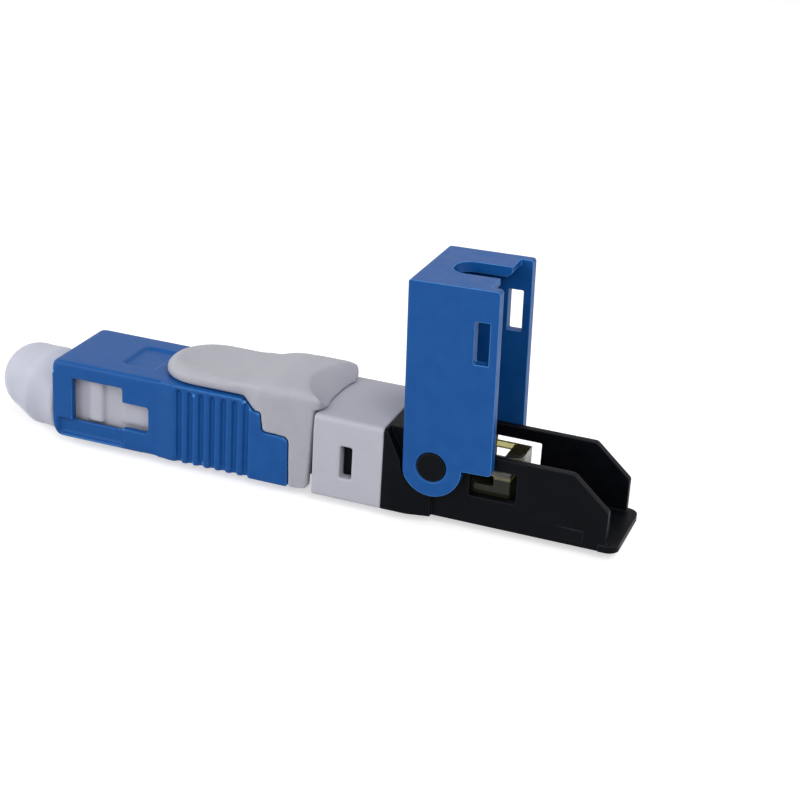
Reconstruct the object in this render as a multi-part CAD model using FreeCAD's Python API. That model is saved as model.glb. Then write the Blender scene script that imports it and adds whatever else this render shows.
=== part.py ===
"""SC field-assembly fibre connector: push-pull plug, splice inside, flip cover at the cable end.

Lengths are in millimetres. Stations along the connector are measured from the front face of the
outer housing, +X towards the cable, and heights from the underside. A height named AT or FROM the
axis is measured from the ferrule's axis. On export everything moves back by HINGE_X, so that the
row frame's origin lies on the resting plane directly below the cover's hinge axis.
"""

import FreeCAD, Part

import math
import os

from FreeCAD import Matrix, Vector

# Clearances
SLIDE_GAP = 0.10
BORE_GAP = 0.01
HINGE_GAP = 0.05
FRAME_SIDE_GAP = 0.35
LUG_GAP = 0.12

# Outer housing, an SC push-pull shell
HOUSING_WIDTH = 9.00
HOUSING_HEIGHT = 7.40
HOUSING_WALL = 0.75
HOUSING_EDGE_R = 0.35
NOSE_LOWER_R = 0.95
NOSE_UPPER_R = 0.45
CORNER_LEAD_WIDTH = 0.45
CORNER_LEAD_LENGTH = 0.80
CORNER_LEAD_HEIGHT = 1.60
WINDOW_X = (2.05, 7.10)
WINDOW_FROM_AXIS = (-1.93, 2.30)
SLOT_END_X = 9.65
SLOT_FROM_AXIS = (-1.60, 0.86)
RAIL_RECESS_X = (0.50, 7.20)
RAIL_RECESS_Z = (0.26, 1.95)
RAIL_RECESS_DEPTH = 0.22
KEY_X = (3.00, 10.00)
KEY_WIDTH = 2.40
KEY_HEIGHT = 0.75
TOP_RECESS_X = (5.95, 9.20)
TOP_RECESS_WIDTH = 4.70
TOP_RECESS_DEPTH = 0.22

# Places that follow from the housing
AXIS_Z = HOUSING_HEIGHT / 2
HALF_WIDTH = HOUSING_WIDTH / 2
CAVITY_HALF_WIDTH = HALF_WIDTH - HOUSING_WALL
CAVITY_HALF_HEIGHT = AXIS_Z - HOUSING_WALL

# Finger grip on the housing's sides
GRIP_START_X = 10.55
GRIP_RAMP = 1.60
GRIP_RAISE = 0.20
GROOVE_COUNT = 7
GROOVE_PITCH = 1.075
GROOVE_FIRST_X = 12.82
GROOVE_WIDTH = 0.50
GROOVE_DEPTH = 0.38
GROOVE_TOP_Z = HOUSING_HEIGHT - 0.35
GRIP_HALF_WIDTH = HALF_WIDTH + GRIP_RAISE

# Stepped rear edge of the housing's sides, shared with the slider's skirts
STEP_TOP_X = 18.75
STEP_SHOULDER_X = 19.95
STEP_SHOULDER_Z = HOUSING_HEIGHT - 0.95
STEP_RISER_X = 20.65
STEP_TREAD_Z = AXIS_Z + 0.94
HOUSING_END_X = 23.35

# Grey lock slider, the saddle over the housing
PAD_NOSE_X = 9.90
PAD_HALF_WIDTH = 4.10
PAD_TOP_Z = HOUSING_HEIGHT + 1.20
PAD_EDGE_R = 0.70
PAD_END_X = 18.50
SADDLE_FRONT_X = 21.20
SADDLE_TOP_Z = HOUSING_HEIGHT + 1.70
SADDLE_CORNER_R = 0.80
SADDLE_WALL = 0.90
SADDLE_ROOF_Z = HOUSING_HEIGHT - 0.55
TAIL_END_X = 26.40
TAIL_CORNER_R = 0.80
SKIRT_END_TOP_X = 25.62
SKIRT_END_LOW_X = 25.20
SCOOP_START_X = 23.60
SCOOP_SLOPE = 35.0
SCOOP_R = 9.70
DISH_X = 14.10
DISH_HALF_LENGTH = 3.30
DISH_HALF_WIDTH = 2.75
DISH_DEPTH = 0.26

# White plug frame inside the housing
FRAME_X = (0.40, 12.00)
FRAME_HALF_WIDTH = CAVITY_HALF_WIDTH - FRAME_SIDE_GAP
FRAME_HALF_HEIGHT = CAVITY_HALF_HEIGHT - SLIDE_GAP
FRAME_CHAMFER = 0.70
FRAME_STOP_X = (6.20, 6.90)
FRAME_STOP_R = 1.90
CATCH_X = (3.35, 4.90)
CATCH_RAISE = 0.55
WING_X = (6.70, 11.30)
WING_RAISE = 0.25
WING_FROM_AXIS = (-1.50, 0.80)

# Ferrule, its holder and the spring
FERRULE_R = 1.2495
FERRULE_X = (-1.40, 9.10)
FERRULE_CHAMFER = 0.25
FIBRE_R = 0.0625
FIBRE_END_X = 18.60
HOLDER_NECK_X = 5.60
HOLDER_NECK_R = 1.75
HOLDER_FLANGE_X = (6.95, 8.20)
HOLDER_FLANGE_R = 2.30
HOLDER_BARREL_R = 1.50
HOLDER_END_X = 13.90
HOLDER_CHAMFER = 0.15
SPRING_X = (8.22, 12.38)
SPRING_WIRE_R = 0.17
SPRING_MEAN_R = 1.95
SPRING_WIRE_SIDES = 8
SPRING_TURNS = 5
SPRING_RUNS = 20
FRAME_BORE_R = HOLDER_FLANGE_R + SLIDE_GAP

# Mechanical splice behind the ferrule
SPLICE_X = (13.90, 25.50)
SPLICE_HALF_WIDTH = 1.50
SPLICE_DEPTH = 1.45
SPLICE_FUNNEL_LENGTH = 1.20
SPLICE_FUNNEL_R = 0.60
FRONT_LID_X = (14.30, 18.30)
REAR_LID_X = (18.40, 24.00)
LID_HALF_WIDTH = 1.00
LID_RISE = 1.00
CLIP_X = (15.00, 20.00)
CLIP_THICKNESS = 0.20
CLIP_LIP = 1.10
SLEEVE_X = (20.60, 24.60)
SLEEVE_WALL = 0.25

# Black splice housing behind the plug frame
SPLICE_HOUSING_END_X = 31.00
SPLICE_HOUSING_HALF_WIDTH = FRAME_HALF_WIDTH - SLIDE_GAP
SPLICE_HOUSING_HALF_HEIGHT = FRAME_HALF_HEIGHT - SLIDE_GAP
SPLICE_CAVITY_HALF_WIDTH = 2.45
SPLICE_CAVITY_HALF_HEIGHT = 2.18
SPLICE_HOUSING_WALL_X = (12.40, 13.20)
SPLICE_HOUSING_BORE_R = 1.62
POST_SLOT_X = (19.50, 24.90)
POST_X = (22.00, 24.00)
POST_HALF_WIDTH = 1.40

# White main body
BODY_X = (25.75, 32.19)
BODY_HALF_WIDTH = 4.95
BODY_HEIGHT = HOUSING_HEIGHT + 0.15
BODY_TOP_R = 0.45
BODY_EDGE_R = 0.25
BODY_WINDOW_X = (28.30, 29.40)
BODY_WINDOW_FROM_AXIS = (-1.60, 1.38)
BODY_LUG_RAISE = 0.80

# Hinge of the flip cover
HINGE_X = 36.505
HINGE_Z = AXIS_Z + 1.18
PIVOT_R = 1.25
OPEN_ANGLE = 91.5

# Blue flip cover, measured from the hinge axis in its closed pose
COVER_LENGTH = 16.24
COVER_HALF_WIDTH = 4.95
COVER_PLATE = 0.90
COVER_ROOF_RISE = 2.63
COVER_ROOF_THICKNESS = 0.80
COVER_ROOF_START = 3.62
COVER_DROP = 5.25
COVER_END_THICKNESS = 0.90
COVER_EDGE_R = 0.35
COVER_NOTCH_HALF_WIDTH = 1.65
COVER_NOTCH_TOP = 0.30
COVER_SLOT_X = (9.80, 13.50)
COVER_SLOT_DROP = (3.25, 4.55)
COVER_HEEL_X = 0.12
COVER_BEVEL = 0.45
EYE_CHAMFER = 0.12

# Black cable base
BASE_SPIGOT_X = 31.05
BASE_SPIGOT_WALL = 0.75
DECK_Z = HOUSING_HEIGHT + 0.10
DECK_ROOF = 1.05
DECK_END_X = 39.30
COLLAR_TAPER_X = 33.60
COLLAR_END_HALF_WIDTH = 4.30
RECESS_R = COVER_ROOF_RISE + 0.17
RECESS_LEAN = 26.0
RECESS_EDGE_X = 36.45
CHANNEL_HALF_WIDTH = 3.88
CHANNEL_WALL = 0.65
CHANNEL_TOP_Z = AXIS_Z + 2.68
CHANNEL_END_X = 51.70
CHANNEL_TIP_Z = AXIS_Z - 0.15
CHANNEL_CHAMFER_X = 48.50
FLOOR_THICKNESS = 0.60
LIP_END_X = 52.70
LIP_HALF_WIDTH = 3.98
LIP_CORNER_R = 1.00
CHAMBER_X = 33.60
SIDE_WINDOW_X = (39.60, 43.75)
SIDE_WINDOW_FROM_AXIS = (-1.15, 1.60)
LUG_X = (46.95, 49.75)
LUG_RAISE = 0.12
FIBRE_BORE_R = 0.90

# Amber fibre guide
GUIDE_X = (37.00, 42.95)
GUIDE_FROM_AXIS = (-1.25, 1.30)
GUIDE_WALL = 0.45
GUIDE_NOSE_X = 32.00
GUIDE_NOSE_R = 0.75
GUIDE_BORE_R = 0.30
GUIDE_FUNNEL_R = 1.00
GUIDE_OPENING_X = (39.20, 41.50)
GUIDE_OPENING_FROM_AXIS = (-0.25, 0.70)

# Dust cap, standing a little crooked on the ferrule
CAP_BASE_X = -0.10
CAP_BASE_Y = -1.00
CAP_BASE_Z = 2.68
CAP_YAW = 17.5
CAP_PITCH = 5.5
CAP_LENGTH = 7.33
CAP_NECK_R = 3.30
CAP_NECK_LENGTH = 1.25
CAP_RIM_R = 3.80
CAP_RIM_LENGTH = 2.15
CAP_HEAD_R = 3.26
CAP_HEAD_START = 4.50
CAP_STEM_R = 2.15
CAP_STEM_END_X = 5.30
CAP_BORE_END_X = -2.20

# Longer than any piece, for cuts that go right through
BIG = 60.0


def corner_arc(before, corner, after):
    """Start, middle and end of the arc that rounds a corner (u, v, radius) of an outline."""
    u, v, radius = corner
    if radius <= 0.0:
        return [(u, v)]
    arms = []
    for other in (before, after):
        length = math.hypot(other[0] - u, other[1] - v)
        arms.append(((other[0] - u) / length, (other[1] - v) / length))
    half = math.acos(max(-1.0, min(1.0, arms[0][0] * arms[1][0] + arms[0][1] * arms[1][1]))) / 2.0
    reach = radius / math.tan(half)
    bisector = (arms[0][0] + arms[1][0], arms[0][1] + arms[1][1])
    scale = (radius / math.sin(half) - radius) / math.hypot(*bisector)
    start = (u + arms[0][0] * reach, v + arms[0][1] * reach)
    middle = (u + bisector[0] * scale, v + bisector[1] * scale)
    end = (u + arms[1][0] * reach, v + arms[1][1] * reach)
    return [start, middle, end]


def rounded_face(corners, place):
    """Flat face inside the closed outline of (u, v, radius) corners, put in space by place."""
    count = len(corners)
    arcs = [corner_arc(corners[i - 1], corners[i], corners[(i + 1) % count]) for i in range(count)]
    edges = []
    for i, arc in enumerate(arcs):
        if len(arc) == 3:
            edges.append(Part.Arc(*[place(*point) for point in arc]).toShape())
        start = place(*arc[-1])
        end = place(*arcs[(i + 1) % count][0])
        if start.distanceToPoint(end) > 1e-6:
            edges.append(Part.LineSegment(start, end).toShape())
    return Part.Face(Part.Wire(edges))


def prism_across(corners, y0, y1):
    """Solid with a side-view outline of (x, z, radius) corners, from y0 to y1."""
    face = rounded_face(corners, lambda u, v: Vector(u, y0, v))
    return face.extrude(Vector(0, y1 - y0, 0))


def prism_along(corners, x0, x1):
    """Solid with an end-view outline of (y, z, radius) corners, from x0 to x1."""
    face = rounded_face(corners, lambda u, v: Vector(x0, u, v))
    return face.extrude(Vector(x1 - x0, 0, 0))


def prism_up(corners, z0, z1):
    """Solid with a plan outline of (x, y, radius) corners, from z0 to z1."""
    face = rounded_face(corners, lambda u, v: Vector(u, v, z0))
    return face.extrude(Vector(0, 0, z1 - z0))


def rectangle(u0, u1, v0, v1, radius=0.0):
    """Corners of a rectangle with one radius."""
    return [(u0, v0, radius), (u1, v0, radius), (u1, v1, radius), (u0, v1, radius)]


def block(x0, x1, y0, y1, z0, z1):
    """Plain box between two corners."""
    return Part.makeBox(x1 - x0, y1 - y0, z1 - z0, Vector(x0, y0, z0))


def rod(radius, x0, x1, y=0.0, z=AXIS_Z):
    """Cylinder along X."""
    return Part.makeCylinder(radius, x1 - x0, Vector(x0, y, z), Vector(1, 0, 0))


def cone(radius0, radius1, x0, x1):
    """Cone along X on the ferrule's axis."""
    return Part.makeCone(radius0, radius1, x1 - x0, Vector(x0, 0, AXIS_Z), Vector(1, 0, 0))


def pin(radius, y0, y1, x, z):
    """Cylinder along Y."""
    return Part.makeCylinder(radius, y1 - y0, Vector(x, y0, z), Vector(0, 1, 0))


def both_sides(shape):
    """A shape and its mirror image across the middle plane."""
    return [shape, shape.mirror(Vector(0, 0, 0), Vector(0, 1, 0))]


def from_axis(span):
    """Heights of a span that is measured from the ferrule's axis."""
    return AXIS_Z + span[0], AXIS_Z + span[1]


def centred(half_width, half_height, radius=0.0):
    """End-view rectangle about the ferrule's axis."""
    return rectangle(-half_width, half_width, AXIS_Z - half_height, AXIS_Z + half_height, radius)


def step_edge(gap):
    """Stepped edge from the underside to the top, moved back and up by a gap."""
    corners = [
        (HOUSING_END_X, -gap, 0.0),
        (HOUSING_END_X - 0.10, STEP_TREAD_Z - 0.04, 0.55),
        (STEP_RISER_X + 0.12, STEP_TREAD_Z + 0.04, 0.45),
        (STEP_RISER_X - 0.08, STEP_SHOULDER_Z - 0.02, 0.25),
        (STEP_SHOULDER_X, STEP_SHOULDER_Z + 0.04, 0.30),
        (STEP_TOP_X, HOUSING_HEIGHT, 0.0),
    ]
    return [(x + gap, z + gap, radius) for x, z, radius in corners]


def outer_housing():
    """Blue push-pull shell with latch windows, ribbed grips, key and stepped rear edge."""
    top = HOUSING_HEIGHT
    side = [(0.0, 0.0, NOSE_LOWER_R)] + step_edge(0.0) + [(0.0, top, NOSE_UPPER_R)]
    shell = prism_across(side, -BIG, BIG).common(
        prism_along(centred(HALF_WIDTH, AXIS_Z, HOUSING_EDGE_R), 0.0, HOUSING_END_X))
    grip_plan = [
        (GRIP_START_X, HALF_WIDTH - 1.0, 0.0),
        (GRIP_START_X, HALF_WIDTH, 0.0),
        (GRIP_START_X + GRIP_RAMP, GRIP_HALF_WIDTH, 1.0),
        (HOUSING_END_X, GRIP_HALF_WIDTH, 0.10),
        (HOUSING_END_X, HALF_WIDTH - 1.0, 0.0),
    ]
    grip_side = [(GRIP_START_X, 0.0, 0.0)] + step_edge(0.0) + [(GRIP_START_X, top, 0.70)]
    grip = prism_up(grip_plan, 0.0, top).common(prism_across(grip_side, 0.0, BIG))
    shell = shell.fuse(both_sides(grip))
    shell = shell.fuse(housing_key())
    inside = centred(CAVITY_HALF_WIDTH, CAVITY_HALF_HEIGHT, 0.30)
    shell = shell.cut(prism_along(inside, -1.0, HOUSING_END_X + 1.0))
    return shell.cut(housing_windows() + grip_grooves() + corner_leads()
                     + [top_recess()]).removeSplitter()


def housing_key():
    """Polarity key under the housing."""
    outline = [
        (KEY_X[0], -KEY_HEIGHT, 0.30),
        (KEY_X[1], -KEY_HEIGHT, 0.30),
        (KEY_X[1], HOUSING_WALL / 2, 0.0),
        (KEY_X[0], HOUSING_WALL / 2, 0.0),
    ]
    return prism_across(outline, -KEY_WIDTH / 2, KEY_WIDTH / 2)


def housing_windows():
    """Latch window, its narrow rear slot and the thinned rail below it, on both sides."""
    low, high = from_axis(WINDOW_FROM_AXIS)
    slot_low, slot_high = from_axis(SLOT_FROM_AXIS)
    window = [
        (WINDOW_X[0], low, 0.20),
        (WINDOW_X[1], low, 0.05),
        (WINDOW_X[1], slot_low, 0.0),
        (SLOT_END_X, slot_low, 0.12),
        (SLOT_END_X, slot_high, 0.12),
        (WINDOW_X[1], slot_high, 0.0),
        (WINDOW_X[1], high, 0.15),
        (WINDOW_X[0], high, 0.20),
    ]
    opening = prism_across(window, CAVITY_HALF_WIDTH - 0.5, BIG)
    rail = prism_across(rectangle(*RAIL_RECESS_X, *RAIL_RECESS_Z, 0.10),
                        HALF_WIDTH - RAIL_RECESS_DEPTH, BIG)
    return both_sides(opening) + both_sides(rail)


def grip_grooves():
    """Finger grooves across both grips, open at the underside."""
    mouth = GRIP_HALF_WIDTH + 0.2
    bottom = GRIP_HALF_WIDTH - GROOVE_DEPTH
    cutters = []
    for i in range(GROOVE_COUNT):
        middle = GROOVE_FIRST_X + i * GROOVE_PITCH
        plan = [
            (middle - GROOVE_WIDTH / 2 - 0.05, mouth, 0.0),
            (middle - GROOVE_WIDTH / 2 + 0.05, bottom, 0.08),
            (middle + GROOVE_WIDTH / 2 - 0.05, bottom, 0.08),
            (middle + GROOVE_WIDTH / 2 + 0.05, mouth, 0.0),
        ]
        cutters += both_sides(prism_up(plan, -BIG, GROOVE_TOP_Z))
    return cutters


def corner_leads():
    """Facets on the four corners of the front face that lead the shell into an adapter."""
    cutters = []
    for corner_z, rise in ((0.0, 1.0), (HOUSING_HEIGHT, -1.0)):
        tip = Vector(-0.05, HALF_WIDTH + 0.05, corner_z - rise * 0.05)
        points = [
            tip + Vector(CORNER_LEAD_LENGTH, 0, 0),
            tip + Vector(0, -CORNER_LEAD_WIDTH, 0),
            tip + Vector(0, 0, rise * CORNER_LEAD_HEIGHT),
        ]
        faces = [Part.Face(Part.makePolygon([tip, points[i], points[i - 1], tip])) for i in range(3)]
        faces.append(Part.Face(Part.makePolygon(points + [points[0]])))
        wedge = Part.Solid(Part.Shell(faces))
        if wedge.Volume < 0:
            wedge.reverse()
        cutters += both_sides(wedge)
    return cutters


def top_recess():
    """Shallow rounded panel in the housing's top face."""
    half = TOP_RECESS_WIDTH / 2
    return prism_up(rectangle(*TOP_RECESS_X, -half, half, 0.55),
                    HOUSING_HEIGHT - TOP_RECESS_DEPTH, BIG)


def lock_slider():
    """Grey saddle: dished thumb pad, raised shoulder, skirts and the post that drives the sleeve."""
    under = HOUSING_HEIGHT + SLIDE_GAP
    body = saddle_pad(under).fuse(saddle_shoulder(under))
    inner = GRIP_HALF_WIDTH - SADDLE_WALL
    cavity = prism_along(rectangle(-inner, inner, -BIG, SADDLE_ROOF_Z, 0.40), STEP_TOP_X, BIG)
    body = body.cut([cavity, thumb_dish(), tail_scoop()])
    post_low = AXIS_Z + sleeve_half_height() - SLEEVE_WALL
    post = block(*POST_X, -POST_HALF_WIDTH, POST_HALF_WIDTH, post_low, SADDLE_ROOF_Z + 0.2)
    return body.fuse(post).removeSplitter()


def saddle_pad(under):
    """Oval thumb pad with a rounded rim."""
    plan = [
        (PAD_NOSE_X, -PAD_HALF_WIDTH, PAD_HALF_WIDTH - 0.15),
        (SADDLE_FRONT_X, -PAD_HALF_WIDTH, 0.0),
        (SADDLE_FRONT_X, PAD_HALF_WIDTH, 0.0),
        (PAD_NOSE_X, PAD_HALF_WIDTH, PAD_HALF_WIDTH - 0.15),
    ]
    pad = prism_up(plan, under, PAD_TOP_Z)
    rim = [edge for edge in pad.Edges
           if edge.BoundBox.ZMin > PAD_TOP_Z - 0.01 and edge.BoundBox.XMin < PAD_END_X]
    return pad.makeFillet(PAD_EDGE_R, rim)


def saddle_shoulder(under):
    """Raised shoulder, skirts and the tail that stands over the main body's front edge."""
    half = GRIP_HALF_WIDTH
    side = step_edge(SLIDE_GAP)[:-1] + [
        (STEP_TOP_X + SLIDE_GAP, under, 0.0),
        (PAD_END_X - 1.0, under, 0.0),
        (PAD_END_X - 1.0, PAD_TOP_Z - 0.002, 0.0),
        (PAD_END_X, PAD_TOP_Z - 0.002, 2.8),
        (SADDLE_FRONT_X, SADDLE_TOP_Z, 2.6),
        (TAIL_END_X, SADDLE_TOP_Z, TAIL_CORNER_R),
        (TAIL_END_X, BODY_HEIGHT + SLIDE_GAP, 0.10),
        (SKIRT_END_TOP_X, BODY_HEIGHT + SLIDE_GAP, 0.0),
        (SKIRT_END_LOW_X, 0.20, 0.30),
    ]
    plan = [
        (PAD_END_X - 1.0, -PAD_HALF_WIDTH, 0.0),
        (PAD_END_X + 0.2, -PAD_HALF_WIDTH, 1.8),
        (PAD_END_X + 1.7, -half, 1.8),
        (TAIL_END_X, -half, 0.90),
        (TAIL_END_X, half, 0.90),
        (PAD_END_X + 1.7, half, 1.8),
        (PAD_END_X + 0.2, PAD_HALF_WIDTH, 1.8),
        (PAD_END_X - 1.0, PAD_HALF_WIDTH, 0.0),
    ]
    end = [
        (-half, -BIG, 0.0),
        (half, -BIG, 0.0),
        (half, SADDLE_TOP_Z, SADDLE_CORNER_R),
        (-half, SADDLE_TOP_Z, SADDLE_CORNER_R),
    ]
    shoulder = prism_across(side, -BIG, BIG).common(prism_up(plan, -BIG, BIG))
    return shoulder.common(prism_along(end, 0.0, BIG))


def tail_scoop():
    """Leaning round that hollows the tail's rear, between its two side walls."""
    lean = math.radians(SCOOP_SLOPE)
    start = Vector(SCOOP_START_X, 0, SADDLE_TOP_Z)
    centre = start + Vector(math.sin(lean), 0, math.cos(lean)) * SCOOP_R
    along = Vector(math.cos(lean), 0, -math.sin(lean))
    return Part.makeCylinder(SCOOP_R, 40.0, centre - along * 20.0, along)


def thumb_dish():
    """Flat ellipsoid that hollows the pad's top."""
    ball = Part.makeSphere(1.0)
    stretch = Matrix()
    stretch.scale(DISH_HALF_LENGTH, DISH_HALF_WIDTH, DISH_DEPTH)
    stretch.move(Vector(DISH_X, 0, PAD_TOP_Z))
    return ball.transformGeometry(stretch)


def plug_frame():
    """White inner frame: ferrule bore, latch catches and side wings."""
    section = prism_along(centred(FRAME_HALF_WIDTH, FRAME_HALF_HEIGHT, 0.25), *FRAME_X)
    bottom = AXIS_Z - FRAME_HALF_HEIGHT
    key_side = [
        (FRAME_HALF_WIDTH - FRAME_CHAMFER, bottom, 0.0),
        (FRAME_HALF_WIDTH - FRAME_CHAMFER, bottom - 1.0, 0.0),
        (FRAME_HALF_WIDTH + 1.0, bottom - 1.0, 0.0),
        (FRAME_HALF_WIDTH + 1.0, bottom + FRAME_CHAMFER, 0.0),
        (FRAME_HALF_WIDTH, bottom + FRAME_CHAMFER, 0.0),
    ]
    frame = section.cut(both_sides(prism_along(key_side, -1.0, HOUSING_END_X)))
    catch = [
        (CATCH_X[0] - 0.6, FRAME_HALF_WIDTH - 0.3, 0.0),
        (CATCH_X[0] - 0.6, FRAME_HALF_WIDTH, 0.0),
        (CATCH_X[0] + 0.4, FRAME_HALF_WIDTH + CATCH_RAISE, 0.15),
        (CATCH_X[1], FRAME_HALF_WIDTH + CATCH_RAISE, 0.10),
        (CATCH_X[1], FRAME_HALF_WIDTH - 0.3, 0.0),
    ]
    wing = prism_across(rectangle(*WING_X, *from_axis(WING_FROM_AXIS), 0.2),
                        FRAME_HALF_WIDTH - 0.3, FRAME_HALF_WIDTH + WING_RAISE)
    low, high = from_axis(WINDOW_FROM_AXIS)
    ridge = prism_up(catch, low + SLIDE_GAP, high - SLIDE_GAP)
    frame = frame.fuse(both_sides(wing) + both_sides(ridge))
    bores = [
        rod(FRAME_BORE_R, FRAME_X[0] - 1.0, FRAME_STOP_X[0]),
        rod(FRAME_STOP_R, FRAME_STOP_X[0] - 1.0, FRAME_STOP_X[1] + 1.0),
        rod(FRAME_BORE_R, FRAME_STOP_X[1], FRAME_X[1] + 1.0),
    ]
    return frame.cut(bores).removeSplitter()


def ferrule():
    """Ceramic ferrule with a bevelled tip and a fibre bore."""
    outline = [
        (FERRULE_X[0], 0.0, 0.0),
        (FERRULE_X[1], 0.0, 0.0),
        (FERRULE_X[1], FERRULE_R, 0.0),
        (FERRULE_X[0] + FERRULE_CHAMFER, FERRULE_R, 0.0),
        (FERRULE_X[0], FERRULE_R - FERRULE_CHAMFER, 0.0),
    ]
    body = turned(outline)
    return body.cut(rod(FIBRE_R + BORE_GAP, FERRULE_X[0] - 1.0, FERRULE_X[1] + 1.0))


def turned(outline):
    """Solid of revolution about the ferrule's axis from an (x, radius, corner radius) outline."""
    face = rounded_face(outline, lambda u, v: Vector(u, 0, AXIS_Z + v))
    return face.revolve(Vector(0, 0, AXIS_Z), Vector(1, 0, 0), 360)


def ferrule_holder():
    """Flanged holder that carries the ferrule and the splice."""
    seat_x = FERRULE_X[1] + BORE_GAP
    outline = [
        (HOLDER_NECK_X, 0.0, 0.0),
        (HOLDER_END_X, 0.0, 0.0),
        (HOLDER_END_X, HOLDER_BARREL_R - HOLDER_CHAMFER, 0.0),
        (HOLDER_END_X - HOLDER_CHAMFER, HOLDER_BARREL_R, 0.0),
        (HOLDER_FLANGE_X[1], HOLDER_BARREL_R, 0.0),
        (HOLDER_FLANGE_X[1], HOLDER_FLANGE_R, 0.0),
        (HOLDER_FLANGE_X[0] + HOLDER_CHAMFER, HOLDER_FLANGE_R, 0.0),
        (HOLDER_FLANGE_X[0], HOLDER_FLANGE_R - HOLDER_CHAMFER, 0.0),
        (HOLDER_FLANGE_X[0], HOLDER_NECK_R, 0.0),
        (HOLDER_NECK_X + HOLDER_CHAMFER, HOLDER_NECK_R, 0.0),
        (HOLDER_NECK_X, HOLDER_NECK_R - HOLDER_CHAMFER, 0.0),
    ]
    holder = turned(outline)
    return holder.cut([
        rod(FERRULE_R + BORE_GAP, HOLDER_NECK_X - 1.0, seat_x),
        cone(0.45, FIBRE_R + BORE_GAP, seat_x - 0.01, seat_x + 1.0),
        rod(FIBRE_R + BORE_GAP, seat_x, HOLDER_END_X + 1.0),
    ])


def ferrule_spring():
    """Compression spring between the holder's flange and the splice housing, swept in short runs."""
    length = SPRING_X[1] - SPRING_X[0] - 2 * SPRING_WIRE_R
    count = SPRING_TURNS * SPRING_RUNS
    points = []
    for i in range(count + 1):
        turn = 2 * math.pi * i / SPRING_RUNS
        points.append(Vector(SPRING_X[0] + SPRING_WIRE_R + length * i / count,
                             SPRING_MEAN_R * math.cos(turn),
                             AXIS_Z + SPRING_MEAN_R * math.sin(turn)))
    along = (points[1] - points[0]).normalize()
    outward = Vector(0, 1, 0)
    outward = (outward - along * outward.dot(along)).normalize()
    across = along.cross(outward)
    section = []
    for i in range(SPRING_WIRE_SIDES + 1):
        turn = 2 * math.pi * (i + 0.5) / SPRING_WIRE_SIDES
        arm = outward * math.cos(turn) + across * math.sin(turn)
        section.append(points[0] + arm * SPRING_WIRE_R)
    return Part.makePolygon(points).makePipeShell([Part.makePolygon(section)], True, False, 1)


def fibre_stub():
    """Short length of fibre fixed in the ferrule and lying in the splice groove."""
    return rod(FIBRE_R, FERRULE_X[0], FIBRE_END_X)


def splice_base():
    """Lower half of the splice, with a V groove and an entry funnel."""
    bottom = AXIS_Z - SPLICE_DEPTH
    base = block(*SPLICE_X, -SPLICE_HALF_WIDTH, SPLICE_HALF_WIDTH, bottom, AXIS_Z)
    depth = (FIBRE_R + BORE_GAP) * math.sqrt(2)
    groove = [(-depth - 0.1, AXIS_Z + 0.1, 0.0), (0.0, AXIS_Z - depth, 0.0),
              (depth + 0.1, AXIS_Z + 0.1, 0.0)]
    funnel_x = SPLICE_X[1] - SPLICE_FUNNEL_LENGTH
    seat_z = bottom + CLIP_THICKNESS + SLIDE_GAP / 2
    seat = block(CLIP_X[0] - SLIDE_GAP, CLIP_X[1] + SLIDE_GAP, -BIG, BIG, -BIG, seat_z)
    return base.cut([prism_along(groove, SPLICE_X[0] - 1.0, SPLICE_X[1] + 1.0),
                     cone(FIBRE_R, SPLICE_FUNNEL_R, funnel_x, SPLICE_X[1] + 0.01), seat])


def splice_lid(span):
    """Flat lid that presses the fibres into the groove."""
    low = AXIS_Z + FIBRE_R + BORE_GAP
    outline = [
        (span[0], low, 0.0),
        (span[1], low, 0.0),
        (span[1], AXIS_Z + LID_RISE, 0.25),
        (span[0], AXIS_Z + LID_RISE, 0.25),
    ]
    return prism_across(outline, -LID_HALF_WIDTH, LID_HALF_WIDTH)


def splice_clip():
    """Open clamp spring of bent strip that holds the lids down."""
    inner = SPLICE_HALF_WIDTH + SLIDE_GAP / 2
    outer = inner + CLIP_THICKNESS
    low = AXIS_Z - SPLICE_DEPTH
    high = AXIS_Z + LID_RISE + SLIDE_GAP / 2 + CLIP_THICKNESS
    shell = prism_along(rectangle(-outer, outer, low, high, 0.30), *CLIP_X)
    hollow = prism_along(rectangle(-inner, inner, low + CLIP_THICKNESS, high - CLIP_THICKNESS, 0.10),
                         CLIP_X[0] - 1.0, CLIP_X[1] + 1.0)
    gap = outer - CLIP_LIP
    mouth = block(CLIP_X[0] - 1.0, CLIP_X[1] + 1.0, -gap, gap, AXIS_Z, BIG)
    return shell.cut([hollow, mouth])


def sleeve_half_height():
    """Half the height of the sleeve, which slides in the splice housing's cavity."""
    return SPLICE_CAVITY_HALF_HEIGHT - SLIDE_GAP


def clamp_sleeve():
    """Sleeve that the slider pushes over the clamp spring to close the splice."""
    half_width = SPLICE_CAVITY_HALF_WIDTH - SLIDE_GAP
    half_height = sleeve_half_height()
    outer = prism_along(centred(half_width, half_height, 0.35), *SLEEVE_X)
    inner = prism_along(centred(half_width - SLEEVE_WALL, half_height - SLEEVE_WALL, 0.15),
                        SLEEVE_X[0] - 1.0, SLEEVE_X[1] + 1.0)
    side_gap = SLIDE_GAP / 2
    notch = block(POST_X[0] - side_gap, POST_X[1] + side_gap, -POST_HALF_WIDTH - side_gap,
                  POST_HALF_WIDTH + side_gap, AXIS_Z, BIG)
    return outer.cut([inner, notch])


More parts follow.
